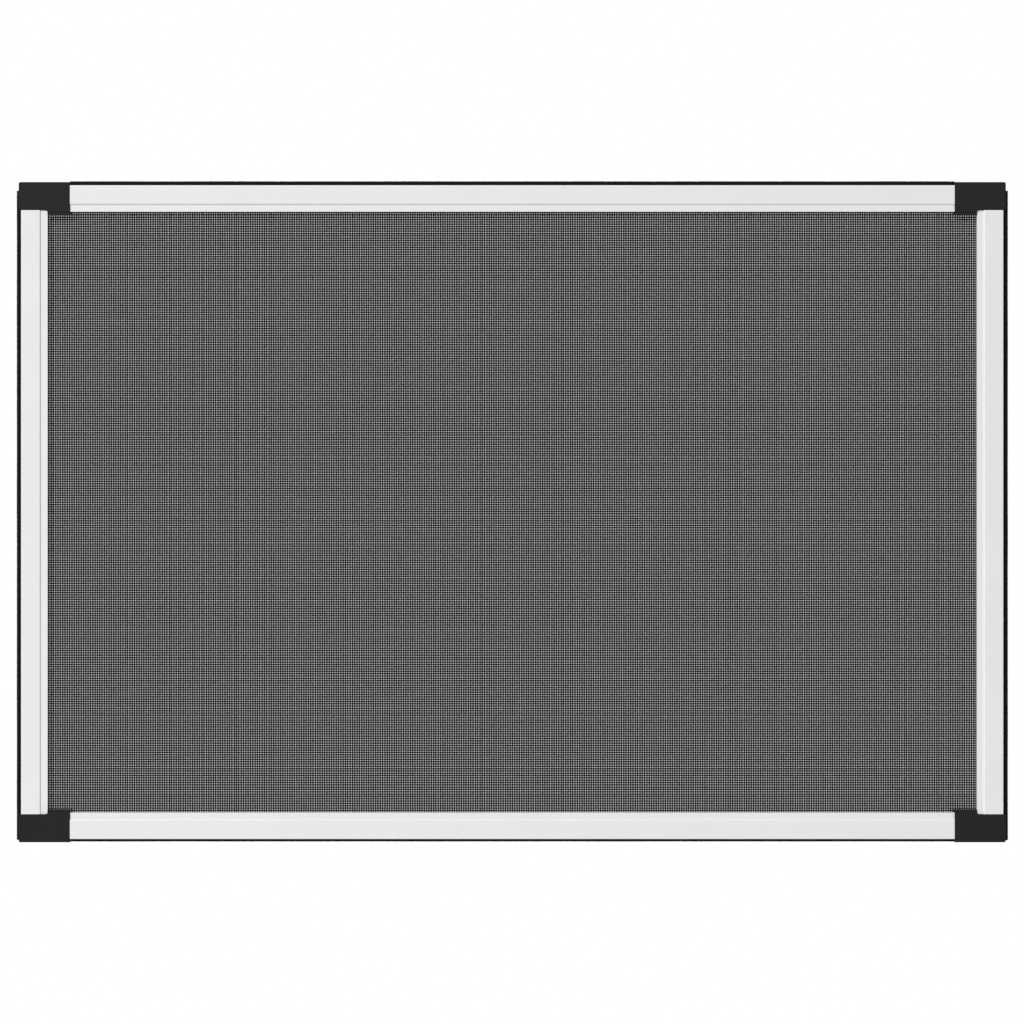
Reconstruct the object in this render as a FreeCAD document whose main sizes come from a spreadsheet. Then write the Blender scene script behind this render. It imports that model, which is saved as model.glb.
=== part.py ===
import FreeCAD
import Part
import Sketcher

import os
import re

# Window screen frame: four hollow rails, four moulded corner blocks, insect mesh, splines and brush
# seals. The frame stands upright. X runs along the long side to the right, Z is up, and the front
# looks towards -Y. The origin is the centre of the whole frame. All lengths are in millimetres.

# Every driving size: its value and what it measures.
SIZES = {
    "overall_width": (750.0, "over the piles of the two side brushes"),
    "overall_height": (500.0, "over the corner blocks"),
    "frame_depth": (9.0, "front face of a rail to its rear face"),
    "rail_face": (20.0, "width of a rail seen from the front"),
    "side_pile_reach": (3.0, "side brush pile beyond the rail"),
    "top_pile_reach": (2.4, "top brush pile beyond the rail"),
    "bottom_pile_reach": (1.9, "bottom brush pile beyond the rail"),
    "side_brush_head": (6.5, "head of the side brush below the head of the frame"),
    "side_brush_foot": (1.7, "foot of the side brush above the foot of the frame"),
    "profile_wall": (1.0, "wall of the extruded rail"),
    "band_width": (14.1, "raised outer band on a rail's front"),
    "band_step": (1.0, "the inner band lies this much behind the raised one"),
    "rail_edge_radius": (0.6, "rounding of a rail's long outer edges"),
    "brush_mouth": (3.0, "mouth of the brush slot"),
    "brush_slot_width": (5.4, "inside width of the brush slot"),
    "brush_slot_height": (1.5, "inside height of the brush slot"),
    "brush_play": (0.15, "gap between a brush strip and its slot"),
    "groove_lip": (1.1, "lip between the spline groove and the opening"),
    "groove_width": (4.1, "width of the spline groove"),
    "groove_floor": (2.5, "floor of the spline groove behind the front face"),
    "lip_drop": (3.5, "the lip ends this much before the rear face"),
    "block_length": (37.0, "corner block along the horizontal rail, from the stile's outer edge"),
    "block_side_overhang": (1.8, "corner block beyond the stile"),
    "block_end_overhang": (2.4, "corner block beyond the horizontal rail"),
    "block_lip": (2.4, "low lip of the block past the rail's inner edge"),
    "lip_recess": (0.6, "the lip lies this much behind the block's face"),
    "block_lip_slant": (1.5, "the lip's end runs this much further in at its free edge"),
    "block_corner_radius": (1.4, "outer corner of the block seen from the front"),
    "block_edge_radius": (0.5, "rounding of the block's front and rear edges"),
    "web_radius": (1.3, "quarter-round web between block and lip"),
    "leg_length": (32.0, "leg of the block inside a rail's chamber"),
    "leg_play": (0.15, "gap between a leg's barbs and the chamber wall"),
    "barb_height": (1.2, "height of a barb over the leg's core"),
    "barb_length": (3.6, "length of a barb along the leg"),
    "barb_pitch": (5.6, "distance from barb to barb"),
    "barb_count": (5.0, "barbs on each leg"),
    "cloth_wall": (0.4, "thickness of the woven cloth between its ridges"),
    "cloth_play": (0.1, "gap between the cloth and the groove's lip"),
    "thread_width": (1.1, "width of a thread"),
    "thread_relief": (0.2, "height of a thread over the cloth's wall"),
    "ridge_pitch": (8.775, "five threads of the weave, one of which stands as a ridge"),
    "mesh_gap": (3.6, "side of an open gap in the cloth"),
    "gap_columns": (12.0, "gaps across"),
    "gap_rows": (10.0, "gaps up"),
    "spline_play": (0.1, "gap between the spline and the groove's wall, floor and cloth"),
}

# Lengths that follow from the driving ones, as expressions of their names.
RAIL_X = "(overall_width / 2 - side_pile_reach)"
RAIL_Z = "(overall_height / 2 - block_end_overhang)"
FRONT = "(-frame_depth / 2)"
REAR = "(frame_depth / 2)"
LIP_INSIDE = "(rail_face - groove_lip)"
GROOVE_OUTSIDE = "(rail_face - groove_lip - groove_width)"
SLOT_FLOOR = "(profile_wall + brush_slot_height)"
CHAMBER_OUTSIDE = "(2 * profile_wall + brush_slot_height)"
CHAMBER_INSIDE = f"({GROOVE_OUTSIDE} - profile_wall)"
LIP_LEVEL = "(frame_depth - lip_drop)"
CLOTH_EDGE_INSIDE = f"({LIP_INSIDE} - cloth_play)"
CLOTH_EDGE_OUTSIDE = f"({CLOTH_EDGE_INSIDE} - cloth_wall)"
CLOTH_FRONT = f"({LIP_LEVEL} + cloth_play + thread_relief)"
CLOTH_REAR = f"({CLOTH_FRONT} + cloth_wall)"
SPLINE_RADIUS = f"(({CLOTH_EDGE_OUTSIDE} - {GROOVE_OUTSIDE}) / 2 - spline_play)"
SPLINE_LINE = f"(({CLOTH_EDGE_OUTSIDE} + {GROOVE_OUTSIDE}) / 2)"
RAIL_LENGTH = f"(2 * ({RAIL_X} - block_length))"
STILE_LENGTH = f"(2 * ({RAIL_Z} - {LIP_INSIDE}))"

# A cut that has to pass an edge runs on by this much.
PAST = "1"

# Words in an expression that aren't names of sizes.
FUNCTIONS = ("floor",)


def bound(expression):
    """The expression with each size name pointing at its cell."""
    def cell(match):
        word = match.group()
        return word if word in FUNCTIONS else f"Sizes.{word}"
    return re.sub(r"[a-z][a-z_]*[a-z]", cell, expression)


def make_sheet(doc):
    sheet = doc.addObject("Spreadsheet::Sheet", "Sizes")
    for row, (name, (value, meaning)) in enumerate(SIZES.items(), start=1):
        sheet.set(f"A{row}", name)
        sheet.set(f"B{row}", str(value))
        sheet.set(f"C{row}", meaning)
        sheet.setAlias(f"B{row}", name)
    doc.recompute()


def make_body(doc, label):
    body = doc.addObject("PartDesign::Body", label)
    body.Label = label
    return body


def origin_part(body, role):
    for part in body.Origin.OriginFeatures:
        if part.Role == role:
            return part
    raise ValueError(role)


def attach(body, name, plane, level=None):
    """A new sketch on one of the body's origin planes, or at a depth level parallel to the front."""
    sketch = body.newObject("Sketcher::SketchObject", name)
    sketch.AttachmentSupport = [(origin_part(body, plane), "")]
    sketch.MapMode = "FlatFace"
    if level is not None:
        sketch.setExpression("AttachmentOffset.Base.z", bound(f"-({level})"))
    return sketch


def add_loop(sketch, points):
    """A closed loop of straight lines. Each corner is held by its two distances from the origin.

    The lines are first laid round a rough circle, and the distances then draw them to their places.
    """
    first = sketch.GeometryCount
    count = len(points)
    turn = FreeCAD.Rotation(FreeCAD.Vector(0, 0, 1), 360 / count)
    rough = [FreeCAD.Vector(10, 0, 0)]
    for _ in range(count):
        rough.append(turn.multVec(rough[-1]))
    for start, end in zip(rough, rough[1:]):
        sketch.addGeometry(Part.LineSegment(start, end), False)
    for index in range(count):
        following = first + (index + 1) % count
        sketch.addConstraint(Sketcher.Constraint("Coincident", first + index, 2, following, 1))
    for index, corner in enumerate(points):
        for axis, expression in zip("XY", corner):
            hold_point(sketch, first + index, 1, axis, expression)


def hold_point(sketch, geometry, position, axis, expression):
    name = f"{axis.lower()}_{geometry}"
    held = sketch.addConstraint(Sketcher.Constraint(f"Distance{axis}", -1, 1, geometry, position, 1.0))
    sketch.renameConstraint(held, name)
    sketch.setExpression(f"Constraints.{name}", bound(expression))


def add_circle(sketch, across, up, radius):
    index = sketch.addGeometry(Part.Circle(FreeCAD.Vector(5, 5, 0), FreeCAD.Vector(0, 0, 1), 2), False)
    hold_point(sketch, index, 3, "X", across)
    hold_point(sketch, index, 3, "Y", up)
    held = sketch.addConstraint(Sketcher.Constraint("Radius", index, 2.0))
    sketch.renameConstraint(held, f"radius_{index}")
    sketch.setExpression(f"Constraints.radius_{index}", bound(radius))


def box_points(left, bottom, right, top):
    return [(left, bottom), (right, bottom), (right, top), (left, top)]


def pad_both_ways(body, name, sketch, length):
    pad = body.newObject("PartDesign::Pad", name)
    pad.Profile = sketch
    pad.SideType = "Symmetric"
    pad.setExpression("Length", bound(length))
    return pad


def pad_back(body, name, points, front, rear):
    """Material between two depth levels, in the outline seen from the front."""
    sketch = attach(body, f"{name}Outline", "XZ_Plane", front)
    add_loop(sketch, points)
    pad = body.newObject("PartDesign::Pad", name)
    pad.Profile = sketch
    pad.Reversed = True
    pad.setExpression("Length", bound(f"({rear}) - ({front})"))
    return pad


def cut_back(body, name, points, front):
    """Removes what lies behind a depth level, in the outline seen from the front."""
    sketch = attach(body, f"{name}Outline", "XZ_Plane", front)
    add_loop(sketch, points)
    pocket = body.newObject("PartDesign::Pocket", name)
    pocket.Profile = sketch
    pocket.Type = "ThroughAll"
    return pocket


def round_edges(doc, body, name, chosen, radius):
    """Rounds the edges of the body's last feature that the test picks."""
    doc.recompute()
    base = body.Tip
    edges = [f"Edge{i}" for i, edge in enumerate(base.Shape.Edges, start=1) if chosen(edge)]
    fillet = body.newObject("PartDesign::Fillet", name)
    fillet.Base = (base, edges)
    fillet.setExpression("Radius", bound(radius))
    doc.recompute()
    return fillet


def same(a, b):
    return abs(a - b) < 1e-4


def depth_level(expression):
    return f"{FRONT} + {expression}"


# A rail lies along X with its outer edge on z = 0 and its inner edge below.


def make_rail(doc, label, length):
    body = make_body(doc, label)
    section = attach(body, "Section", "YZ_Plane")
    add_loop(section, rail_outline())
    chamber = box_points(
        f"{FRONT} + profile_wall",
        f"-{CHAMBER_INSIDE}",
        f"{REAR} - profile_wall",
        f"-{CHAMBER_OUTSIDE}",
    )
    add_loop(section, chamber)
    pad_both_ways(body, "Extrusion", section, length)

    def long_outer_edge(edge):
        box = edge.BoundBox
        along = box.XLength > box.YLength + box.ZLength
        at_face = same(abs(box.YMin), doc.Sizes.frame_depth / 2)
        return along and at_face and same(box.ZMax, 0)

    round_edges(doc, body, "OuterEdges", long_outer_edge, "rail_edge_radius")
    return body


def rail_outline():
    """The section seen from the end: depth across, distance from the outer edge downwards."""
    return [
        (FRONT, "0"),
        (FRONT, "-band_width"),
        (depth_level("band_step"), "-(band_width + band_step)"),
        (depth_level("band_step"), "-rail_face"),
        (depth_level(LIP_LEVEL), "-rail_face"),
        (depth_level(LIP_LEVEL), f"-{LIP_INSIDE}"),
        (depth_level("groove_floor"), f"-{LIP_INSIDE}"),
        (depth_level("groove_floor"), f"-{GROOVE_OUTSIDE}"),
        (REAR, f"-{GROOVE_OUTSIDE}"),
        (REAR, "0"),
        ("brush_mouth / 2", "0"),
        ("brush_mouth / 2", "-profile_wall"),
        ("brush_slot_width / 2", "-profile_wall"),
        ("brush_slot_width / 2", f"-{SLOT_FLOOR}"),
        ("-brush_slot_width / 2", f"-{SLOT_FLOOR}"),
        ("-brush_slot_width / 2", "-profile_wall"),
        ("-brush_mouth / 2", "-profile_wall"),
        ("-brush_mouth / 2", "0"),
    ]


# The turn about Y that carries a rail's outer edge to each side of the frame.
TOP, BOTTOM, LEFT, RIGHT = 0, 180, -90, 90


def put(body, turn, x="0", z="0"):
    body.Placement.Rotation = FreeCAD.Rotation(FreeCAD.Vector(0, 1, 0), turn)
    body.setExpression("Placement.Base.x", bound(x))
    body.setExpression("Placement.Base.z", bound(z))


def make_rails(doc):
    put(make_rail(doc, "top_rail", RAIL_LENGTH), TOP, z=RAIL_Z)
    put(make_rail(doc, "bottom_rail", RAIL_LENGTH), BOTTOM, z=f"-{RAIL_Z}")
    put(make_rail(doc, "left_stile", STILE_LENGTH), LEFT, x=f"-{RAIL_X}")
    put(make_rail(doc, "right_stile", STILE_LENGTH), RIGHT, x=RAIL_X)


# The corner block is drawn at the top right. Its origin is where the rails' outer edges would meet,
# so x and z run negative towards the opening.


def make_corner_block(doc, label):
    body = make_body(doc, label)
    add_block(doc, body)
    add_lip_and_web(body)
    cut_brush_slot(body)
    cut_spline_groove(body)
    add_leg(body, "RailLeg", along_rail=True)
    add_leg(body, "StileLeg", along_rail=False)
    body.setExpression("Placement.Base.x", bound(RAIL_X))
    body.setExpression("Placement.Base.z", bound(RAIL_Z))
    doc.recompute()
    return body


def add_block(doc, body):
    outline = [
        ("-block_length", "block_end_overhang"),
        ("block_side_overhang", "block_end_overhang"),
        ("block_side_overhang", f"-{LIP_INSIDE}"),
        ("-rail_face", f"-{LIP_INSIDE}"),
        ("-rail_face", "-rail_face"),
        ("-block_length", "-rail_face"),
    ]
    pad_back(body, "Block", outline, FRONT, REAR)
    sizes = doc.Sizes

    def outer_corner(edge):
        box = edge.BoundBox
        return same(box.XMin, sizes.block_side_overhang) and box.XLength + box.ZLength < 1e-4

    def front_or_rear_edge(edge):
        box = edge.BoundBox
        flat = box.YLength < 1e-4 and same(abs(box.YMin), sizes.frame_depth / 2)
        return flat and box.ZMax > -sizes.rail_face / 2

    round_edges(doc, body, "OuterCorners", outer_corner, "block_corner_radius")
    round_edges(doc, body, "FaceEdges", front_or_rear_edge, "block_edge_radius")


def add_lip_and_web(body):
    lip = [
        ("-rail_face", "-rail_face"),
        ("-rail_face", "-(rail_face + block_lip)"),
        ("-(block_length + block_lip_slant)", "-(rail_face + block_lip)"),
        ("-block_length", "-rail_face"),
    ]
    pad_back(body, "Lip", lip, depth_level("lip_recess"), depth_level(LIP_LEVEL))
    rebate = box_points(
        f"-(block_length + {PAST})",
        f"-(rail_face + block_lip + {PAST})",
        f"-{LIP_INSIDE}",
        f"-{LIP_INSIDE}",
    )
    cut_back(body, "ClothRebate", rebate, depth_level(LIP_LEVEL))
    web = box_points(
        "-rail_face",
        f"-({LIP_INSIDE} + web_radius)",
        "-(rail_face - web_radius)",
        f"-{LIP_INSIDE}",
    )
    pad_back(body, "Web", web, FRONT, depth_level("band_step"))
    sketch = attach(body, "WebRoundOutline", "XZ_Plane", depth_level("band_step"))
    add_circle(sketch, "-(rail_face - web_radius)", f"-({LIP_INSIDE} + web_radius)", "web_radius")
    hollow = body.newObject("PartDesign::Pocket", "WebRound")
    hollow.Profile = sketch
    hollow.Reversed = True
    hollow.setExpression("Length", bound("band_step"))


def cut_brush_slot(body):
    """The stile's brush slot carried on over the full height of the block."""
    slot = [
        (f"block_side_overhang + {PAST}", "-brush_mouth / 2"),
        (f"block_side_overhang + {PAST}", "brush_mouth / 2"),
        ("-profile_wall", "brush_mouth / 2"),
        ("-profile_wall", "brush_slot_width / 2"),
        (f"-{SLOT_FLOOR}", "brush_slot_width / 2"),
        (f"-{SLOT_FLOOR}", "-brush_slot_width / 2"),
        ("-profile_wall", "-brush_slot_width / 2"),
        ("-profile_wall", "-brush_mouth / 2"),
    ]
    sketch = attach(body, "BrushSlotOutline", "XY_Plane")
    add_loop(sketch, slot)
    pocket = body.newObject("PartDesign::Pocket", "BrushSlot")
    pocket.Profile = sketch
    pocket.SideType = "Symmetric"
    pocket.Type = "ThroughAll"


def cut_spline_groove(body):
    """The rails' spline grooves meet at a right angle inside the block."""
    groove = [
        (f"-(block_length + {PAST})", f"-{GROOVE_OUTSIDE}"),
        (f"-{GROOVE_OUTSIDE}", f"-{GROOVE_OUTSIDE}"),
        (f"-{GROOVE_OUTSIDE}", f"-({LIP_INSIDE} + {PAST})"),
        (f"-{LIP_INSIDE}", f"-({LIP_INSIDE} + {PAST})"),
        (f"-{LIP_INSIDE}", f"-{LIP_INSIDE}"),
        (f"-(block_length + {PAST})", f"-{LIP_INSIDE}"),
    ]
    cut_back(body, "SplineGroove", groove, depth_level("groove_floor"))


def add_leg(body, name, along_rail):
    """A core with arrow-shaped barbs that grips the inside of a rail's chamber."""
    start = "block_length" if along_rail else LIP_INSIDE
    middle = f"(({CHAMBER_OUTSIDE} + {CHAMBER_INSIDE}) / 2)"
    barb_half = f"(({CHAMBER_INSIDE} - {CHAMBER_OUTSIDE}) / 2 - leg_play)"
    core_half = f"({barb_half} - barb_height)"
    depth = "(frame_depth - 2 * profile_wall - 2 * leg_play)"

    def place(along, across):
        pair = (f"-({start} + {along})", f"-({middle} + {across})")
        return pair if along_rail else pair[::-1]

    core = [
        place("0", core_half),
        place("leg_length", core_half),
        place("leg_length", f"-{core_half}"),
        place("0", f"-{core_half}"),
    ]
    sketch = attach(body, f"{name}Outline", "XZ_Plane")
    add_loop(sketch, core)
    pad_both_ways(body, name, sketch, depth)

    barb = [
        place("barb_pitch - barb_length / 2", barb_half),
        place("barb_pitch + barb_length / 2", core_half),
        place("barb_pitch + barb_length / 2", f"-{core_half}"),
        place("barb_pitch - barb_length / 2", f"-{barb_half}"),
    ]
    sketch = attach(body, f"{name}BarbOutline", "XZ_Plane")
    add_loop(sketch, barb)
    first = pad_both_ways(body, f"{name}Barb", sketch, depth)
    row = body.newObject("PartDesign::LinearPattern", f"{name}Barbs")
    row.Originals = [first]
    row.Direction = (origin_part(body, "X_Axis" if along_rail else "Z_Axis"), [""])
    row.Reversed = True
    row.Mode = "Spacing"
    row.setExpression("Offset", bound("barb_pitch"))
    row.setExpression("Occurrences", bound("barb_count"))
    body.Tip = row


def make_corners(doc):
    top_right = make_corner_block(doc, "corner_top_right")
    top_left = mirror(doc, "corner_top_left", top_right, FreeCAD.Vector(1, 0, 0))
    mirror(doc, "corner_bottom_right", top_right, FreeCAD.Vector(0, 0, 1))
    mirror(doc, "corner_bottom_left", top_left, FreeCAD.Vector(0, 0, 1))


def mirror(doc, label, source, normal):
    copy = doc.addObject("Part::Mirroring", label)
    copy.Label = label
    copy.Source = source
    copy.Normal = normal
    return copy


# The insect mesh is one wall. Its upright threads stand as ridges on the front, its level ones on
# the rear, and its edges are turned forward into the spline grooves.


def make_mesh(doc):
    body = make_body(doc, "insect_mesh")
    outer = (f"({RAIL_X} - {CLOTH_EDGE_OUTSIDE})", f"({RAIL_Z} - {CLOTH_EDGE_OUTSIDE})")
    inner = (f"({RAIL_X} - {CLOTH_EDGE_INSIDE})", f"({RAIL_Z} - {CLOTH_EDGE_INSIDE})")
    sketch = attach(body, "TurnedEdgeOutline", "XZ_Plane", depth_level("groove_floor + spline_play"))
    add_loop(sketch, rectangle(outer))
    add_loop(sketch, rectangle(inner))
    edge = body.newObject("PartDesign::Pad", "TurnedEdge")
    edge.Profile = sketch
    edge.Reversed = True
    edge.setExpression("Length", bound(f"{CLOTH_REAR} - groove_floor - spline_play"))
    pad_back(body, "Wall", rectangle(outer), depth_level(CLOTH_FRONT), depth_level(CLOTH_REAR))
    add_ridges(doc, body, "UprightThreads", across=True, reach=inner[1])
    add_ridges(doc, body, "LevelThreads", across=False, reach=inner[0])
    cut_gaps(doc, body)


def rectangle(half):
    return box_points(f"-{half[0]}", f"-{half[1]}", half[0], half[1])


def ridge_count(across):
    half = RAIL_X if across else RAIL_Z
    return f"floor(2 * ({half} - rail_face) / ridge_pitch)"


def add_ridges(doc, body, name, across, reach):
    first = f"(-({ridge_count(across)} - 1) * ridge_pitch / 2)"
    sides = (f"({first} - thread_width / 2)", f"({first} + thread_width / 2)")
    if across:
        points = box_points(sides[0], f"-{reach}", sides[1], reach)
        levels = (f"{CLOTH_FRONT} - thread_relief", CLOTH_FRONT)
    else:
        points = box_points(f"-{reach}", sides[0], reach, sides[1])
        levels = (CLOTH_REAR, f"{CLOTH_REAR} + thread_relief")
    ridge = pad_back(body, f"{name}First", points, depth_level(levels[0]), depth_level(levels[1]))
    doc.recompute()
    row = body.newObject("PartDesign::LinearPattern", name)
    row.Originals = [ridge]
    row.Direction = (origin_part(body, "X_Axis" if across else "Z_Axis"), [""])
    row.Mode = "Spacing"
    row.setExpression("Offset", bound("ridge_pitch"))
    row.setExpression("Occurrences", bound(ridge_count(across)))
    body.Tip = row
    doc.recompute()


def cut_gaps(doc, body):
    """Open gaps between the ridges, spread evenly over the cloth."""
    def first_gap(across, count):
        ridges = ridge_count(across)
        step = f"floor({ridges} / {count})"
        start = f"floor(({ridges} - 1 - ({count} - 1) * {step}) / 2)"
        return f"(({start} + 0.5 - ({ridges} - 1) / 2) * ridge_pitch)", f"{step} * ridge_pitch"

    x, column_step = first_gap(True, "gap_columns")
    z, row_step = first_gap(False, "gap_rows")
    half = "mesh_gap / 2"
    points = box_points(f"{x} - {half}", f"{z} - {half}", f"{x} + {half}", f"{z} + {half}")
    gap = cut_back(body, "FirstGap", points, depth_level("groove_floor"))
    doc.recompute()
    grid = body.newObject("PartDesign::LinearPattern", "Gaps")
    grid.Originals = [gap]
    grid.Direction = (origin_part(body, "X_Axis"), [""])
    grid.Mode = "Spacing"
    grid.setExpression("Offset", bound(column_step))
    grid.setExpression("Occurrences", bound("gap_columns"))
    grid.Direction2 = (origin_part(body, "Z_Axis"), [""])
    grid.Mode2 = "Spacing"
    grid.setExpression("Offset2", bound(row_step))
    grid.setExpression("Occurrences2", bound("gap_rows"))
    body.Tip = grid
    doc.recompute()


# A spline is a round cord on the floor of its groove, drawn along X like the rails.


def make_spline(doc, label, length):
    body = make_body(doc, label)
    sketch = attach(body, "Section", "YZ_Plane")
    level = depth_level(f"groove_floor + spline_play + {SPLINE_RADIUS}")
    add_circle(sketch, level, f"-{SPLINE_LINE}", SPLINE_RADIUS)
    pad_both_ways(body, "Cord", sketch, length)
    return body


def make_splines(doc):
    rail_cord = f"(2 * ({RAIL_X} - {GROOVE_OUTSIDE} - spline_play))"
    stile_cord = f"(2 * ({RAIL_Z} - {CLOTH_EDGE_OUTSIDE}))"
    put(make_spline(doc, "spline_top", rail_cord), TOP, z=RAIL_Z)
    put(make_spline(doc, "spline_bottom", rail_cord), BOTTOM, z=f"-{RAIL_Z}")
    put(make_spline(doc, "spline_left", stile_cord), LEFT, x=f"-{RAIL_X}")
    put(make_spline(doc, "spline_right", stile_cord), RIGHT, x=RAIL_X)


# A brush seal is a flat backing strip in the slot, with a pile that stands out through the mouth.


def make_brush(doc, label, length, reach):
    body = make_body(doc, label)
    back = "(brush_slot_width / 2 - brush_play)"
    pile = "(brush_mouth / 2 - brush_play)"
    tip = f"({pile} / 2)"
    section = [
        (f"-{back}", f"-({SLOT_FLOOR} - brush_play)"),
        (back, f"-({SLOT_FLOOR} - brush_play)"),
        (back, "-(profile_wall + brush_play)"),
        (pile, "-(profile_wall + brush_play)"),
        (pile, "0"),
        (tip, reach),
        (f"-{tip}", reach),
        (f"-{pile}", "0"),
        (f"-{pile}", "-(profile_wall + brush_play)"),
        (f"-{back}", "-(profile_wall + brush_play)"),
    ]
    sketch = attach(body, "Section", "YZ_Plane")
    add_loop(sketch, section)
    pad_both_ways(body, "Strip", sketch, length)
    return body


def make_brushes(doc):
    side_length = "(overall_height - side_brush_head - side_brush_foot)"
    middle = "((side_brush_foot - side_brush_head) / 2)"
    top = make_brush(doc, "brush_top", RAIL_LENGTH, "top_pile_reach")
    bottom = make_brush(doc, "brush_bottom", RAIL_LENGTH, "bottom_pile_reach")
    left = make_brush(doc, "brush_left", side_length, "side_pile_reach")
    right = make_brush(doc, "brush_right", side_length, "side_pile_reach")
    put(top, TOP, z=RAIL_Z)
    put(bottom, BOTTOM, z=f"-{RAIL_Z}")
    put(left, LEFT, x=f"-{RAIL_X}", z=middle)
    put(right, RIGHT, x=RAIL_X, z=middle)


def sub_parts(doc):
    return [o for o in doc.Objects if o.TypeId in ("PartDesign::Body", "Part::Mirroring")]


def check(doc):
    for thing in doc.Objects:
        if "Invalid" in thing.State or "Error" in thing.State:
            raise RuntimeError(f"{thing.Label} failed: {thing.State}")
    for part in sub_parts(doc):
        shape = part.Shape
        if shape.isNull() or not shape.isValid() or len(shape.Solids) != 1:
            raise RuntimeError(f"{part.Label} is not one sound solid")


def write_parts(doc):
    os.makedirs("parts", exist_ok=True)
    for part in sub_parts(doc):
        part.Shape.exportStep(f"parts/{part.Label}.step")
        box = part.Shape.BoundBox
        size = f"{box.XLength:.2f} x {box.YLength:.2f} x {box.ZLength:.2f} mm"
        print(f"{part.Label}: {size}, {part.Shape.Volume / 1000:.2f} cubic cm")


def main():
    doc = FreeCAD.newDocument("window_screen_frame")
    make_sheet(doc)
    make_rails(doc)
    make_corners(doc)
    make_mesh(doc)
    make_splines(doc)
    make_brushes(doc)
    doc.recompute()
    check(doc)
    write_parts(doc)


main()
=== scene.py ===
import math
import random

import bmesh
import bpy
from mathutils import Matrix, Vector

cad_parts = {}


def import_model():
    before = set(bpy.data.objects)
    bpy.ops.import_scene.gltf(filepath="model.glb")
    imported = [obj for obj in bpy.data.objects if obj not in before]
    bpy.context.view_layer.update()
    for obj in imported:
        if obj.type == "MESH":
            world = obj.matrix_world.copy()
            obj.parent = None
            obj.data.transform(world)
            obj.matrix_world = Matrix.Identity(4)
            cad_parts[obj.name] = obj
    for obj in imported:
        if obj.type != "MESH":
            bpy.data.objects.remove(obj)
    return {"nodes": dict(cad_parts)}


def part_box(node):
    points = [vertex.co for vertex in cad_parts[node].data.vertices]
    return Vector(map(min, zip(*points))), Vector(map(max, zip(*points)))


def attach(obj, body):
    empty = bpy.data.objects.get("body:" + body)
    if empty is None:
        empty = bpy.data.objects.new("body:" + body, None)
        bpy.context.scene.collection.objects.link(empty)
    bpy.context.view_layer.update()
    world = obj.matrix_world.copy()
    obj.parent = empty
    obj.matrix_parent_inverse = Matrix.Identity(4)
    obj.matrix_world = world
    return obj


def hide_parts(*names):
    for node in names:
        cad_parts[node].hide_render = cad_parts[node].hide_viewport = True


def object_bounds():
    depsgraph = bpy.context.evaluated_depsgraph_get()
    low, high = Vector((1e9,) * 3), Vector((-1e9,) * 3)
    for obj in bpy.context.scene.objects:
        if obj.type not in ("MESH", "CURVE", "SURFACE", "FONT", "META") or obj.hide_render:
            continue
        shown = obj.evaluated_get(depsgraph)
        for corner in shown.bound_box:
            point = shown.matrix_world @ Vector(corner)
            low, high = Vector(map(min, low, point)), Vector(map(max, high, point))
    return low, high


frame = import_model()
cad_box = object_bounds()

# Window screen frame: white powder-coated rails, black moulded corner blocks, a dark woven cloth held
# by rubber cords in the rear grooves, and bristle seals along the outer edges. Lengths are metres.

MM = 0.001
nodes = frame["nodes"]

# The camera. The photograph spans VIEW_WIDTH at the rails' front, and its middle lies a little off
# the middle of the screen.
VIEW_WIDTH = 775.4 * MM
VIEW_CENTRE_X = -0.2 * MM
VIEW_CENTRE_Z = 0.12 * MM
CAMERA_DISTANCE = 4.0
SENSOR_WIDTH = 36.0

# The studio. A lamp's level is what it lights a white surface to that faces it.
LAMP_DISTANCE = 8.0
KEY_DIRECTION = (-0.55, -0.63, 0.55)
KEY_SIZE = 1.8
KEY_LEVEL = 0.8
REAR_DIRECTION = (0.5, 0.7, 0.45)
REAR_SIZE = 3.0
REAR_LEVEL = 0.58
AMBIENT_LEVEL = 0.33
FLOOR_LEVEL = -0.7
FLOOR_HALF = 3.0
FLOOR_FADE_START = 0.35 * FLOOR_HALF
FLOOR_FADE_END = 0.95 * FLOOR_HALF

# The weave. The warp is upright and the weft level, and each start is one yarn's place.
WARP_PITCH = 1.7582 * MM
WARP_START = 0.126 * MM
WARP_DEPTH = 1.46 * MM
WEFT_PITCH = 1.7569 * MM
WEFT_START = 0.493 * MM
WEFT_DEPTH = 1.54 * MM
THREAD_WIDTH = 1.265 * MM
THREAD_THICKNESS = 0.22 * MM
THREAD_SIDES = 8
THREAD_WANDER = 0.045 * MM
CUT_END_INSET = 0.05 * MM
WEAVE_SEED = 3

# The rubber cords.
CORD_RING_PITCH = 1.3 * MM

# The bristles of the seals. Heights are from the rail's outer edge, and PILE_PROUD is how far the
# tips stand past the solid pile.
BRISTLE_STEP = 0.38 * MM
BRISTLE_ROWS = 9
BRISTLE_SIDES = 3
BRISTLE_RADIUS = 0.16 * MM
BRISTLE_TIP_RADIUS = 0.13 * MM
BRISTLE_ROOT = -1.2 * MM
BRISTLE_SHORTEST = 0.94
BRISTLE_SPLAY = 0.08
BRISTLE_LEAN_ALONG = 0.05
BRISTLE_LEAN_OUT = 0.03
ROW_JITTER = 0.4
STEP_JITTER = 0.5
TUFT_BRISTLES = 12
TUFT_KINDS = 8
PILE_HALF_WIDTH = 1.15 * MM
PILE_PROUD = {"top": 0.9 * MM, "bottom": 0.2 * MM, "left": 0.65 * MM, "right": 0.75 * MM}
PILE_SWAY = 0.015
PILE_SWAY_TURNS = (0.31, 0.083)
SEAL_SEED = 7

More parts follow.
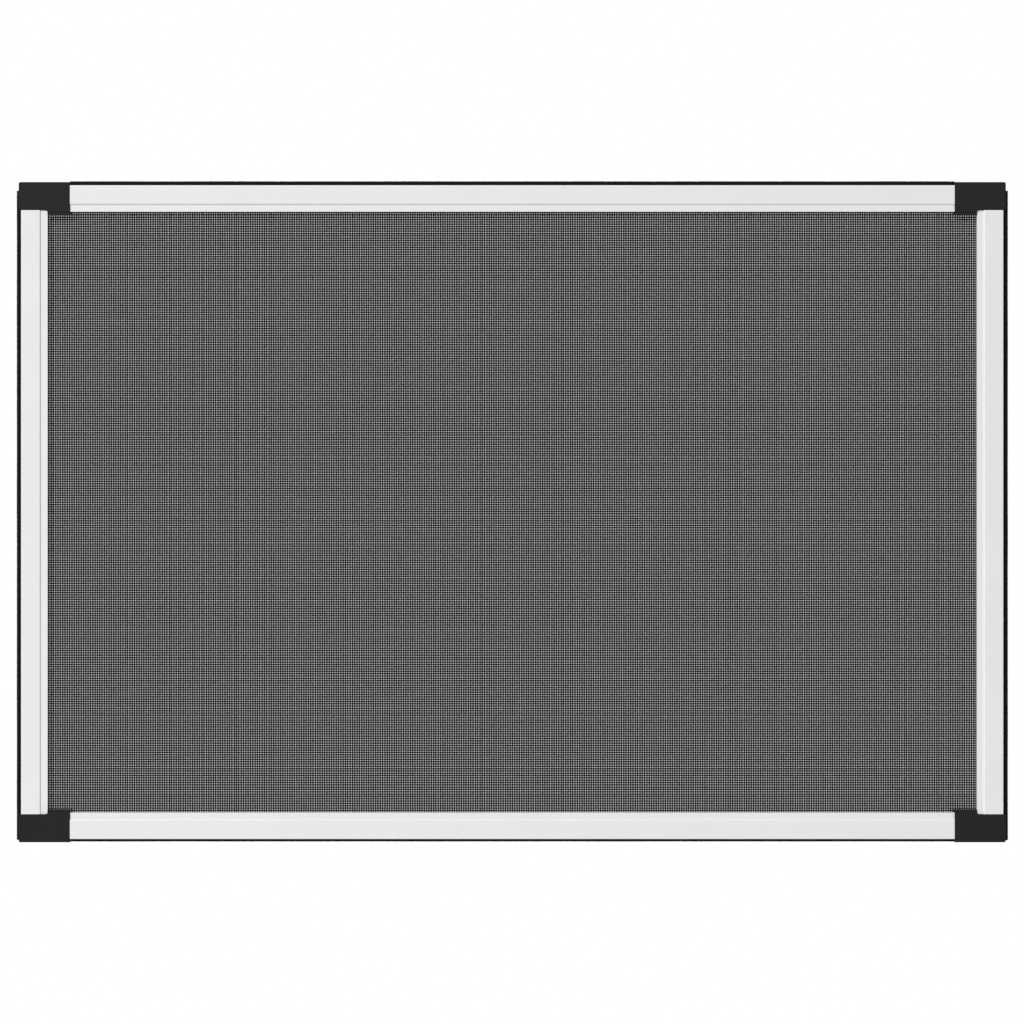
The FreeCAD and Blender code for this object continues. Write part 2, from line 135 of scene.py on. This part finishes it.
# The dense core of a pile and the strip that it stands on.
CORE_HALF_WIDTH = 0.8 * MM
CORE_REACH = 0.84
CORE_SHOULDER = 0.35
CORE_LOWEST = 0.96
CORE_STEP = 1.6 * MM
CORE_ROWS = 4
CORE_END_INSET = 0.5 * MM
BACKING_HALF_WIDTH = 2.5 * MM
BACKING_TOP = -1.15 * MM
BACKING_FLOOR = -2.35 * MM
BACKING_BEVEL = 0.2 * MM


# Materials.


class Amount:
    """A number that changes over a surface. Arithmetic on amounts is carried out by the nodes."""

    def __init__(self, graph, socket):
        self.graph = graph
        self.socket = socket

    def _math(self, operation, first, second=0.0):
        return self.graph.node("ShaderNodeMath", {"operation": operation}, {0: first, 1: second})

    def __add__(self, other):
        return self._math("ADD", self, other)

    def __radd__(self, other):
        return self._math("ADD", other, self)

    def __sub__(self, other):
        return self._math("SUBTRACT", self, other)

    def __rsub__(self, other):
        return self._math("SUBTRACT", other, self)

    def __mul__(self, other):
        return self._math("MULTIPLY", self, other)

    def __rmul__(self, other):
        return self._math("MULTIPLY", other, self)

    def __pow__(self, other):
        return self._math("POWER", self, other)

    def cosine(self):
        return self._math("COSINE", self)

    def greater(self, other):
        return self._math("MAXIMUM", self, other)


class Graph:
    """The nodes of one material or world."""

    def __init__(self, tree):
        self.tree = tree

    def node(self, kind, settings=None, inputs=None, output=0):
        made = self.tree.nodes.new(kind)
        for key, value in (settings or {}).items():
            setattr(made, key, value)
        for key, value in (inputs or {}).items():
            self.feed(made.inputs[key], value)
        return Amount(self, made.outputs[output])

    def feed(self, socket, value):
        if isinstance(value, Amount):
            self.tree.links.new(value.socket, socket)
        else:
            socket.default_value = value

    def parts(self, amount, names):
        """Several outputs of the node that made an amount."""
        outputs = amount.socket.node.outputs
        return [Amount(self, outputs[name]) for name in names]


class Finish(Graph):
    """One material, built node by node round a single surface shader."""

    def __init__(self, name, **surface):
        self.material = bpy.data.materials.new(name)
        self.material.use_nodes = True
        super().__init__(self.material.node_tree)
        self.surface = self.tree.nodes["Principled BSDF"]
        self.set(**surface)

    def set(self, **surface):
        for key, value in surface.items():
            name = key.replace("_", " ").title().replace("Ior", "IOR")
            self.feed(self.surface.inputs[name], value)

    def place(self, kind="Object"):
        return self.node("ShaderNodeTexCoord", output=kind)

    def axes(self, vector):
        return self.parts(self.node("ShaderNodeSeparateXYZ", None, {"Vector": vector}), "XYZ")

    def noise(self, size, detail=2.0, roughness=0.5):
        inputs = {
            "Vector": self.place(),
            "Scale": 1.0 / size,
            "Detail": detail,
            "Roughness": roughness,
        }
        return self.node("ShaderNodeTexNoise", None, inputs)

    def grey(self, level):
        return self.node("ShaderNodeCombineColor", None, {0: level, 1: level, 2: level})

    def bump(self, height, depth, strength=1.0):
        inputs = {"Height": height, "Distance": depth, "Strength": strength}
        self.feed(self.surface.inputs["Normal"], self.node("ShaderNodeBump", None, inputs))


def powder_coat():
    finish = Finish("white_powder_coat", specular_ior_level=0.4)
    cloud = finish.noise(60 * MM, detail=3.0)
    grain = finish.noise(0.9 * MM, detail=3.0)
    sheen = finish.noise(1.1111 * MM)
    finish.set(base_color=finish.grey(0.81 + 0.04 * cloud), roughness=0.48 + 0.14 * sheen)
    finish.bump(grain, 0.03 * MM, 0.6)
    return finish.material


def moulded_black():
    finish = Finish("moulded_black_plastic", specular_ior_level=0.17)
    grain = finish.noise(0.45 * MM, detail=4.0, roughness=0.6)
    cloud = finish.noise(18 * MM)
    finish.set(base_color=finish.grey(0.008 + 0.003 * cloud), roughness=0.5 + 0.2 * grain)
    finish.bump(grain, 0.05 * MM, 0.7)
    return finish.material


def thread_coat(name, upright):
    """Coated yarn, with painted light in its colour: a painted highlight on each stretch between the
    crossings and painted shade where the yarns cross.
    """
    finish = Finish(name, specular_ior_level=0.02)
    right, _, up = finish.axes(finish.place())
    warp_turn = (right - WARP_START) * (math.pi / WARP_PITCH)
    weft_turn = (up - WEFT_START) * (math.pi / WEFT_PITCH)
    # Painted shade: this mask darkens the yarn's colour at each crossing of the yarns.
    painted_crossing_shade = ((weft_turn if upright else warp_turn) * 2).cosine() * 0.5 + 0.5
    over_under = warp_turn.cosine() * weft_turn.cosine()
    wear = finish.noise(3 * MM)
    filament = finish.noise(0.16 * MM)
    # The yarn's colour: painted shade at the crossings and a painted highlight between them, varied a
    # little at random.
    level = 0.001 + (1.0 - painted_crossing_shade) ** 10.0 * (0.2 + 0.04 * wear)
    finish.set(base_color=finish.grey(level), roughness=0.5 + 0.2 * filament)
    finish.bump(filament + 2.0 * over_under, 0.05 * MM, 0.6)
    return finish.material


def rubber_cord(name, upright):
    """Ringed rubber, as the cord is knurled to grip the cloth."""
    finish = Finish(name, specular_ior_level=0.3)
    right, _, up = finish.axes(finish.place())
    rings = ((up if upright else right) * (2 * math.pi / CORD_RING_PITCH)).cosine()
    dust = finish.noise(7 * MM)
    skin = finish.noise(0.5 * MM, detail=3.0)
    finish.set(base_color=finish.grey(0.016 + 0.014 * dust), roughness=0.55 + 0.2 * skin)
    finish.bump(rings + 0.5 * skin, 0.1 * MM, 0.8)
    return finish.material


def black_fibre():
    """Bristles, with painted shade in their colour: darkest at the root between their neighbours and
    paler towards the tip.
    """
    finish = Finish("seal_bristle", specular_ior_level=0.1)
    along = finish.axes(finish.place("UV"))[1]
    fleck = finish.noise(0.8 * MM)
    # Painted shade: the colour darkens from the tip down to the root, where the neighbouring bristles
    # shade it.
    level = 0.002 + (along ** 3.0) * (0.01 + 0.05 * fleck)
    finish.set(base_color=finish.grey(level), roughness=0.5 + 0.25 * fleck)
    return finish.material


def dense_pile():
    finish = Finish("seal_dense_pile", specular_ior_level=0.06)
    fleck = finish.noise(0.35 * MM, detail=3.0)
    finish.set(base_color=finish.grey(0.002 + 0.01 * fleck), roughness=0.7 + 0.2 * fleck)
    finish.bump(fleck, 0.2 * MM)
    return finish.material


def backing_strip():
    finish = Finish("seal_backing", specular_ior_level=0.2)
    grain = finish.noise(0.6 * MM)
    finish.set(base_color=finish.grey(0.01 + 0.01 * grain), roughness=0.5 + 0.2 * grain)
    return finish.material


def dress(names, material):
    for name in names:
        for held in nodes[name].material_slots:
            held.material = material


# Pieces.


def mesh_from(shape, name):
    """The mesh of a finished shape."""
    mesh = bpy.data.meshes.new(name)
    shape.to_mesh(mesh)
    shape.free()
    return mesh


def show(name, data):
    """An object of the given data in the scene."""
    made = bpy.data.objects.new(name, data)
    bpy.context.collection.objects.link(made)
    return made


def piece(name, shape, material, replaced):
    """A shape that rides with the frame in place of a solid."""
    mesh = mesh_from(shape, name)
    mesh.materials.append(material)
    made = show(name, mesh)
    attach(made, "root")
    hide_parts(replaced)
    return made


def repeat(placed_units):
    """A shape that holds each unit mesh at its place."""
    shape = bmesh.new()
    for unit, place in placed_units:
        unit.transform(place)
        shape.from_mesh(unit)
        unit.transform(place.inverted())
    return shape


# The cloth.


def bend(end, depth):
    """Carries the cut end of a yarn to its corner, where it turns upright on a mitre."""
    place = Matrix.Identity(4)
    place[1][1] = 0.0
    place[1][2] = 1.0
    place[1][3] = depth - end
    return place


def flat(level):
    """Brings a ring to one level in depth."""
    place = Matrix.Identity(4)
    place[1][1] = 0.0
    place[1][3] = level
    return place


def thread(half_length, depth, turned_to):
    """An upright flat yarn whose two ends are turned forward into the spline grooves."""
    shape = bmesh.new()
    ring = bmesh.ops.create_circle(shape, cap_ends=True, radius=0.5, segments=THREAD_SIDES)["verts"]
    end = half_length - THREAD_THICKNESS / 2
    section = Matrix.Diagonal((THREAD_WIDTH, THREAD_THICKNESS, 1, 1))
    stand = Matrix.Translation((0, turned_to, end)) @ Matrix.Rotation(math.pi / 2, 4, "X") @ section
    bmesh.ops.transform(shape, matrix=stand, verts=ring)
    for place in (bend(end, depth), Matrix.Diagonal((1, 1, -1, 1)), flat(turned_to)):
        rim = [edge for edge in shape.edges if set(edge.verts) <= set(ring)]
        grown = bmesh.ops.extrude_edge_only(shape, edges=rim)["geom"]
        ring = [item for item in grown if isinstance(item, bmesh.types.BMVert)]
        bmesh.ops.transform(shape, matrix=place, verts=ring)
    bmesh.ops.contextual_create(shape, geom=ring)
    bmesh.ops.recalc_face_normals(shape, faces=shape.faces)
    for face in shape.faces:
        face.smooth = len(face.verts) == 4
    for edge in shape.edges:
        edge.smooth = edge.calc_length() > THREAD_WIDTH
    return mesh_from(shape, "thread_unit")


def selvedge(crossed, out, turn):
    """The yarn along a turned edge, one pitch round the turn, from the first to the last it crosses."""
    shape = bmesh.new()
    bmesh.ops.create_cone(
        shape,
        cap_ends=True,
        segments=THREAD_SIDES,
        radius1=0.5,
        radius2=0.5,
        depth=1.0,
    )
    section = Matrix.Diagonal((THREAD_THICKNESS, THREAD_WIDTH, crossed[-1] - crossed[0], 1))
    middle = (out, WARP_DEPTH - WARP_PITCH, (crossed[0] + crossed[-1]) / 2)
    bmesh.ops.transform(shape, matrix=turn @ Matrix.Translation(middle) @ section, verts=shape.verts)
    bmesh.ops.recalc_face_normals(shape, faces=shape.faces)
    return mesh_from(shape, "selvedge_unit")


def thread_places(half, start, pitch, chance):
    """Yarn centres from edge to edge of the cloth, counted from start and none of them quite even."""
    last = half - THREAD_WIDTH / 2
    counted = range(-int((last + start) / pitch), int((last - start) / pitch) + 1)
    return [start + index * pitch + chance.gauss(0, THREAD_WANDER) for index in counted]


def weave():
    """The cloth: its warp and its weft, each with the two selvedge yarns that lie along it."""
    low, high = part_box("insect_mesh")
    half_width, half_height = high[0], high[2]
    turned_to = low[1] + CUT_END_INSET
    upright = Matrix.Identity(4)
    level = Matrix.Rotation(math.pi / 2, 4, "Y")
    warp_thread = thread(half_height, WARP_DEPTH, turned_to)
    weft_thread = thread(half_width, WEFT_DEPTH, turned_to)
    weft_thread.transform(level)
    chance = random.Random(WEAVE_SEED)
    columns = thread_places(half_width, WARP_START, WARP_PITCH, chance)
    rows = thread_places(half_height, WEFT_START, WEFT_PITCH, chance)
    warp = repeat((warp_thread, Matrix.Translation((x, 0, 0))) for x in columns)
    weft = repeat((weft_thread, Matrix.Translation((0, 0, z))) for z in rows)
    inset = THREAD_THICKNESS / 2 + WEFT_DEPTH - WARP_DEPTH
    for side in (-1, 1):
        warp.from_mesh(selvedge(rows, side * (half_width - inset), upright))
        weft.from_mesh(selvedge(columns, side * (half_height - inset), level))
    return (
        piece("cloth_warp", warp, thread_coat("warp_thread", True), "insect_mesh"),
        piece("cloth_weft", weft, thread_coat("weft_thread", False), "insect_mesh"),
    )


# The seals.


def tuft(reach, chance):
    """A short stretch of pile: rows of tapering bristles that splay a little."""
    shape = bmesh.new()
    length = reach - BRISTLE_ROOT
    for index in range(TUFT_BRISTLES):
        for row in range(BRISTLE_ROWS):
            out = 2 * (row + chance.uniform(-ROW_JITTER, ROW_JITTER)) / (BRISTLE_ROWS - 1) - 1
            along = (index + 0.5 + chance.uniform(-STEP_JITTER, STEP_JITTER)) * BRISTLE_STEP
            tall = length * chance.uniform(BRISTLE_SHORTEST, 1.0)
            lean_along = chance.gauss(0, BRISTLE_LEAN_ALONG)
            lean_out = BRISTLE_SPLAY * out + chance.gauss(0, BRISTLE_LEAN_OUT)
            lean = Matrix.Shear("XY", 4, (lean_along, lean_out))
            stand = Matrix.Translation((along, out * PILE_HALF_WIDTH, BRISTLE_ROOT))
            bmesh.ops.create_cone(
                shape,
                cap_ends=True,
                segments=BRISTLE_SIDES,
                radius1=BRISTLE_RADIUS,
                radius2=BRISTLE_TIP_RADIUS,
                depth=tall,
                matrix=stand @ lean @ Matrix.Translation((0, 0, tall / 2)),
                calc_uvs=False,
            )
    layer = shape.loops.layers.uv.new("Fibre")
    for face in shape.faces:
        for loop in face.loops:
            loop[layer].uv = (0.5, (loop.vert.co.z - BRISTLE_ROOT) / length)
    return mesh_from(shape, "tuft_unit")


def pile(length, reach, stand, chance):
    """The bristles of a seal: tufts side by side, of a few kinds and none of them quite as tall."""
    kinds = [tuft(reach, chance) for _ in range(TUFT_KINDS)]
    count = int(length / (TUFT_BRISTLES * BRISTLE_STEP))
    tufts = []
    for index in range(count):
        slow, slower = (math.sin(index * turn) for turn in PILE_SWAY_TURNS)
        height = Matrix.Diagonal((1, 1, 1 - PILE_SWAY + PILE_SWAY * slow * slower, 1))
        along = Matrix.Translation((index * length / count - length / 2, 0, 0))
        tufts.append((chance.choice(kinds), stand @ along @ height))
    return repeat(tufts)


def core(length, reach, stand, chance):
    """The dense middle of a pile, an uneven ridge that the outer bristles stand round."""
    shape = bmesh.new()
    columns = int(length / CORE_STEP)
    bmesh.ops.create_grid(shape, x_segments=columns, y_segments=CORE_ROWS, size=0.5)
    for vert in shape.verts:
        crown = 1 - CORE_SHOULDER * (2 * vert.co.y) ** 2
        tall = (CORE_REACH * reach - BRISTLE_ROOT) * crown * chance.uniform(CORE_LOWEST, 1.0)
        vert.co = (
            vert.co.x * (length - 2 * CORE_END_INSET),
            vert.co.y * 2 * CORE_HALF_WIDTH,
            BRISTLE_ROOT + tall,
        )
    grown = bmesh.ops.extrude_face_region(shape, geom=list(shape.faces))["geom"]
    root = [item for item in grown if isinstance(item, bmesh.types.BMVert)]
    bmesh.ops.scale(shape, vec=(1, 1, 0), verts=root)
    bmesh.ops.translate(shape, vec=(0, 0, BRISTLE_ROOT), verts=root)
    bmesh.ops.recalc_face_normals(shape, faces=shape.faces)
    bmesh.ops.transform(shape, matrix=stand, verts=shape.verts)
    return shape


def backing(length, stand):
    """The strip in the rail's slot that the pile is fixed to."""
    shape = bmesh.new()
    bmesh.ops.create_cube(shape, size=1.0)
    size = Matrix.Diagonal((length, 2 * BACKING_HALF_WIDTH, BACKING_TOP - BACKING_FLOOR, 1))
    middle = Matrix.Translation((0, 0, (BACKING_TOP + BACKING_FLOOR) / 2))
    bmesh.ops.transform(shape, matrix=stand @ middle @ size, verts=shape.verts)
    bmesh.ops.bevel(
        shape,
        geom=list(shape.edges),
        offset=BACKING_BEVEL,
        offset_type="OFFSET",
        segments=2,
        profile=0.5,
        affect="EDGES",
        material=-1,
    )
    return shape


def seals():
    """One seal on each edge. Each stands on the rail's outer edge and points outwards."""
    chance = random.Random(SEAL_SEED)
    bristle_finish, core_finish, backing_finish = black_fibre(), dense_pile(), backing_strip()
    rail_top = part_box("top_rail")[1][2]
    stile_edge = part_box("right_stile")[1][0]
    for name, turn, rail_edge, axis, across in (
        ("top", 0, rail_top, 0, 2),
        ("bottom", 180, rail_top, 0, 2),
        ("left", -90, stile_edge, 2, 0),
        ("right", 90, stile_edge, 2, 0),
    ):
        seal, node = f"seal_{name}", f"brush_{name}"
        low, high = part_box(node)
        length = high[axis] - low[axis]
        reach = max(abs(low[across]), abs(high[across])) - rail_edge + PILE_PROUD[name]
        middle = Vector((0, 0, 0))
        middle[axis] = (low[axis] + high[axis]) / 2
        turned = Matrix.Rotation(math.radians(turn), 4, "Y")
        stand = Matrix.Translation(middle) @ turned @ Matrix.Translation((0, 0, rail_edge))
        piece(seal, pile(length, reach, stand, chance), bristle_finish, node)
        piece(f"{seal}_core", core(length, reach, stand, chance), core_finish, node)
        piece(f"{seal}_backing", backing(length, stand), backing_finish, node)


# The camera, the lamps and the floor.


def camera():
    data = bpy.data.cameras.new("front_camera")
    data.sensor_width = SENSOR_WIDTH
    data.lens = SENSOR_WIDTH * CAMERA_DISTANCE / VIEW_WIDTH
    made = show("front_camera", data)
    front = cad_box[0][1]
    made.location = (VIEW_CENTRE_X, front - CAMERA_DISTANCE, VIEW_CENTRE_Z)
    made.rotation_euler = (math.pi / 2, 0, 0)
    bpy.context.scene.camera = made


def lamp(name, direction, size, level):
    """A soft square lamp that lights a surface facing it to the given level."""
    data = bpy.data.lights.new(name, "AREA")
    data.shape = "SQUARE"
    data.size = size
    data.energy = level * math.pi ** 2 * LAMP_DISTANCE ** 2
    made = show(name, data)
    toward = Vector(direction).normalized()
    made.location = toward * LAMP_DISTANCE
    made.rotation_euler = toward.to_track_quat("Z", "Y").to_euler()


def world():
    """Even ambient light. The camera, gloss and clear parts see plain white."""
    made = bpy.data.worlds.new("studio")
    made.use_nodes = True
    graph = Graph(made.node_tree)
    rays = ("Is Camera Ray", "Is Glossy Ray", "Is Transmission Ray")
    seen, glossy, clear = graph.parts(graph.node("ShaderNodeLightPath"), rays)
    white = seen.greater(glossy).greater(clear)
    background = made.node_tree.nodes["Background"].inputs
    graph.feed(background["Color"], (1, 1, 1, 1))
    graph.feed(background["Strength"], AMBIENT_LEVEL + (1 - AMBIENT_LEVEL) * white)
    bpy.context.scene.world = made


def pale_floor():
    finish = Finish("pale_floor", roughness=0.8)
    away = finish.node("ShaderNodeVectorMath", {"operation": "LENGTH"}, {0: finish.place()}, "Value")
    span = {"Value": away, "From Min": FLOOR_FADE_START, "From Max": FLOOR_FADE_END}
    faded = finish.node("ShaderNodeMapRange", {"interpolation_type": "SMOOTHSTEP"}, span)
    finish.set(base_color=finish.grey(0.72 + 0.02 * finish.noise(0.5)), alpha=1.0 - faded)
    return finish.material


def floor():
    """A pale floor that keeps the frame's shadow and fades to white before it ends."""
    shape = bmesh.new()
    bmesh.ops.create_grid(shape, x_segments=2, y_segments=2, size=FLOOR_HALF)
    bmesh.ops.translate(shape, vec=(0, 0, FLOOR_LEVEL), verts=shape.verts)
    mesh = mesh_from(shape, "floor")
    mesh.materials.append(pale_floor())
    show("floor", mesh)


# The whole scene.

dress(("top_rail", "bottom_rail", "left_stile", "right_stile"), powder_coat())
dress([name for name in nodes if name.startswith("corner_")], moulded_black())
dress(("spline_top", "spline_bottom"), rubber_cord("level_cord_rubber", False))
dress(("spline_left", "spline_right"), rubber_cord("upright_cord_rubber", True))
warp, weft = weave()
seals()
camera()
lamp("key_lamp", KEY_DIRECTION, KEY_SIZE, KEY_LEVEL)
lamp("rear_lamp", REAR_DIRECTION, REAR_SIZE, REAR_LEVEL)
world()
floor()
bpy.context.scene.view_settings.view_transform = "Standard"
